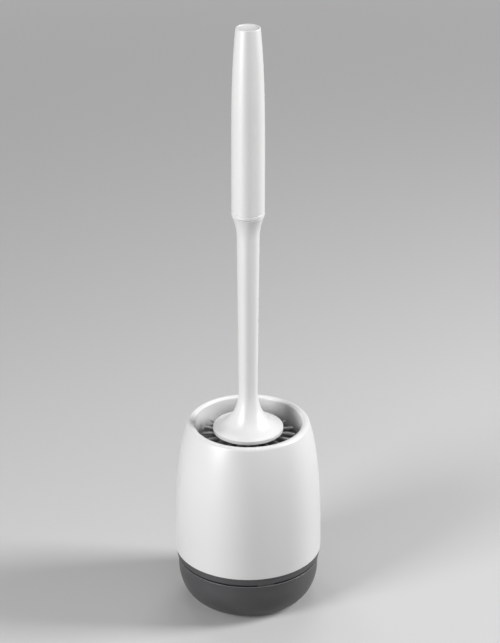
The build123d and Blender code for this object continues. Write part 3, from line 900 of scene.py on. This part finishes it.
class BRUSH_OT_grip(bpy.types.Operator):
    """Builds the grip: the collar, the long handle shell and the dished end cap"""

    bl_idname = "brush.build_grip"
    bl_label = "Grip"

    def execute(self, context):
        s = context.scene.brush_grip
        self.build_collar(context, s)
        self.build_handle(context, s)
        self.build_cap(context, s)
        return {"FINISHED"}

    def build_collar(self, context, s):
        low, high = COLLAR_LOW.z, COLLAR_HIGH.z
        bore = context.scene.brush_stem.screw_radius + CLEARANCE
        profile = points(
            (bore, low), (s.radius - s.collar_edge, low), (s.radius, low + s.collar_edge),
            (s.radius, high - s.joint_edge), (s.radius - s.joint_edge, high), (bore, high),
        )
        collar = lathe("grip_ring", profile, s.segments, FINE_EDGE)
        place_piece(context, collar, "brush", "white_plastic", "grip_collar")

    def build_handle(self, context, s):
        low, top = GRIP_LOW.z, GRIP_HIGH.z
        straight = low + s.straight
        tilt = math.degrees(s.top_lean)
        crown = np.array([s.top_radius, top])
        bore, cap_bottom = s.radius - s.wall, CAP_HIGH.z - s.cap_thickness
        inner = np.array([s.top_radius - s.wall, cap_bottom])
        profile = chain(
            points((bore, low), (s.radius - s.joint_edge, low)),
            line((s.radius, low + s.joint_edge), (s.radius, straight), count=10),
            cubic(
                (s.radius, straight), (s.radius, straight + s.lower_pull),
                crown - lean(tilt, s.top_pull), crown, count=56,
            ),
            points((s.cap_radius, top), (s.cap_radius, cap_bottom)),
            cubic(inner, inner - lean(tilt, s.top_pull), (bore, straight + s.lower_pull), (bore, straight), count=24),
        )
        handle = lathe("grip_handle", profile, s.segments, s.rim_round)
        place_piece(context, handle, "brush", "white_plastic", "grip_shell")

    def build_cap(self, context, s):
        high = CAP_HIGH.z
        rim = s.cap_radius - CLEARANCE
        share = np.linspace(0.0, 1.0, 14)
        dish = np.stack([rim * share, high - s.cap_dish * (1 - share**2)], axis=1)
        low = high - s.cap_thickness
        profile = chain(dish, points((rim, low), (0.0, low)))
        cap = lathe("grip_button", profile, CAP_SEGMENTS, FINE_EDGE, closed=False)
        place_piece(context, cap, "brush", "white_plastic", "grip_cap")


class BRUSH_OT_frame_finish(bpy.types.Operator):
    """Gives the frame's own nodes that stay in view, the drain plate and the inner pieces, their finishes"""

    bl_idname = "brush.finish_frame"
    bl_label = "Inner pieces"

    def execute(self, context):
        slots = {part["node"]: part["material_slot"] for part in frame["record"]["subparts"]}
        for name in ("drain_plate", "head_core", "grip_socket"):
            kept = frame["nodes"][name]
            kept.data.materials.clear()
            kept.data.materials.append(finish_of(context, slots[name]))
        return {"FINISHED"}


def seen_rays(tree):
    """1 for the rays that show a surface to the eye, straight or in a reflection, and 0 for those that light it."""
    ray = tree.nodes.new("ShaderNodeLightPath").outputs
    mirrored = calculated(tree, "MAXIMUM", ray["Is Camera Ray"], ray["Is Glossy Ray"])
    return calculated(tree, "MAXIMUM", mirrored, ray["Is Transmission Ray"])


# Each soft panel's bearing from the front in degrees, distance from the axis, height, and width and height of its face
PANELS = {
    "left_panel": (-50.0, 1.2, 0.55, (0.45, 0.9)),
    "right_panel": (92.0, 1.3, 0.8, (0.4, 0.9)),
    "front_panel": (10.0, 0.6, 1.7, (0.4, 0.4)),
    "top_panel": (-151.0, 0.88, 1.6, (0.28, 0.28)),
    "back_panel": (170.0, 1.0, 1.35, (0.6, 0.4)),
}
PANEL_AIM = Vector((0.0, 0.0, 0.2))
SENSOR_WIDTH = 36.0  # millimetres
VIEW_END = 60.0


class BRUSH_OT_stage(bpy.types.Operator):
    """Sets the floor, the soft panels, the light from all round and the camera"""

    bl_idname = "brush.build_stage"
    bl_label = "Stage"

    def execute(self, context):
        s = context.scene.brush_stage
        self.floor(s)
        for name, place in PANELS.items():
            self.panel(name, *place, getattr(s, name))
        self.surround(context, s)
        self.camera(context, s)
        context.scene.view_settings.view_transform = "Standard"
        return {"FINISHED"}

    def floor(self, s):
        half = s.floor_size
        mesh = bpy.data.meshes.new("floor")
        mesh.from_pydata([(-half, -half, 0), (half, -half, 0), (half, half, 0), (-half, half, 0)], [], [(0, 1, 2, 3)])
        floor = add_object("floor", mesh)
        made, tree, shader = new_material("floor")
        shader["Roughness"].default_value = s.floor_roughness
        shader["Specular IOR Level"].default_value = s.floor_gloss
        # The floor is pale to look at, and throws little light back up on the object
        seen = seen_rays(tree)
        tint = mixed(tree, "RGBA", seen, shade(s.floor, s.floor_bounce), shade(s.floor, 1.0))
        feed(tree, shader["Base Color"], tint)
        # Far out it fades into the backdrop's own tone
        place = tree.nodes.new("ShaderNodeTexCoord").outputs["Object"]
        distance = node(tree, "ShaderNodeVectorMath", operation="LENGTH", Vector=place)
        fade = ranged(tree, distance.outputs["Value"], (s.fade_start, s.fade_end))
        haze = node(tree, "ShaderNodeEmission", Color=(s.backdrop, s.backdrop, s.backdrop, 1.0))
        both = tree.nodes.new("ShaderNodeMixShader")
        surface = tree.nodes["Principled BSDF"].outputs[0]
        sources = (calculated(tree, "MULTIPLY", fade, seen), surface, haze.outputs[0])
        for socket, source in zip(both.inputs, sources):
            feed(tree, socket, source)
        feed(tree, tree.nodes["Material Output"].inputs["Surface"], both.outputs[0])
        mesh.materials.append(made)

    def panel(self, name, bearing, distance, height, size, energy):
        """A soft panel that faces the object. Bearing 0 is in front of it and 90 to its right."""
        turn = math.radians(bearing)
        lamp = bpy.data.lights.new(name, "AREA")
        lamp.shape = "RECTANGLE"
        lamp.size, lamp.size_y = size
        lamp.energy = energy
        made = add_object(name, lamp)
        made.location = (math.sin(turn) * distance, -math.cos(turn) * distance, height)
        made.rotation_euler = (PANEL_AIM - made.location).to_track_quat("-Z", "Y").to_euler()

    def surround(self, context, s):
        world = bpy.data.worlds.new("surround")
        context.scene.world = world
        world.use_nodes = True
        tree = world.node_tree
        light = tree.nodes["Background"].inputs
        light["Color"].default_value = (1.0, 1.0, 1.0, 1.0)
        feed(tree, light["Strength"], mixed(tree, "FLOAT", seen_rays(tree), s.ambient, s.backdrop))

    def camera(self, context, s):
        lens = bpy.data.cameras.new("camera")
        lens.lens = s.lens
        lens.sensor_width = SENSOR_WIDTH
        lens.clip_end = VIEW_END
        made = add_object("camera", lens)
        made.location = (0.0, -s.camera_distance, s.camera_height)
        made.rotation_euler = (math.pi / 2 - s.camera_pitch, 0.0, -s.camera_turn)
        context.scene.camera = made


class BRUSH_PT_panel(bpy.types.Panel):
    """Lists the pieces and their sizes"""

    bl_idname = "BRUSH_PT_panel"
    bl_label = "Toilet Brush"
    bl_space_type = "VIEW_3D"
    bl_region_type = "UI"
    bl_category = "Brush"

    def draw(self, context):
        for name, _, operator in STEPS:
            box = self.layout.box()
            if operator:
                box.operator(operator.bl_idname)
            if name:
                settings = getattr(context.scene, name)
                for key in type(settings).__annotations__:
                    box.prop(settings, key)


# In the panel's order: a name in the scene, the settings under it, and the operator that builds from them
STEPS = (
    ("brush_finishes", BrushFinishes, None),
    ("brush_shell", ShellSettings, BRUSH_OT_shell),
    ("brush_base", BaseSettings, BRUSH_OT_base),
    ("brush_head", HeadSettings, BRUSH_OT_head),
    ("brush_stem", StemSettings, BRUSH_OT_stem),
    ("brush_grip", GripSettings, BRUSH_OT_grip),
    (None, None, BRUSH_OT_frame_finish),
    ("brush_stage", StageSettings, BRUSH_OT_stage),
)
CLASSES = [made for _, *pair in STEPS for made in pair if made] + [BRUSH_PT_panel]


def register():
    for made in CLASSES:
        bpy.utils.register_class(made)
    for name, settings, _ in STEPS:
        if name:
            setattr(bpy.types.Scene, name, PointerProperty(type=settings))


def unregister():
    for name, _, _ in STEPS:
        if name:
            delattr(bpy.types.Scene, name)
    for made in reversed(CLASSES):
        bpy.utils.unregister_class(made)


def main():
    register()
    bpy.ops.brush.build_shell()
    bpy.ops.brush.build_base()
    bpy.ops.brush.build_head()
    bpy.ops.brush.build_stem()
    bpy.ops.brush.build_grip()
    bpy.ops.brush.finish_frame()
    bpy.ops.brush.build_stage()


if __name__ == "__main__":
    main()
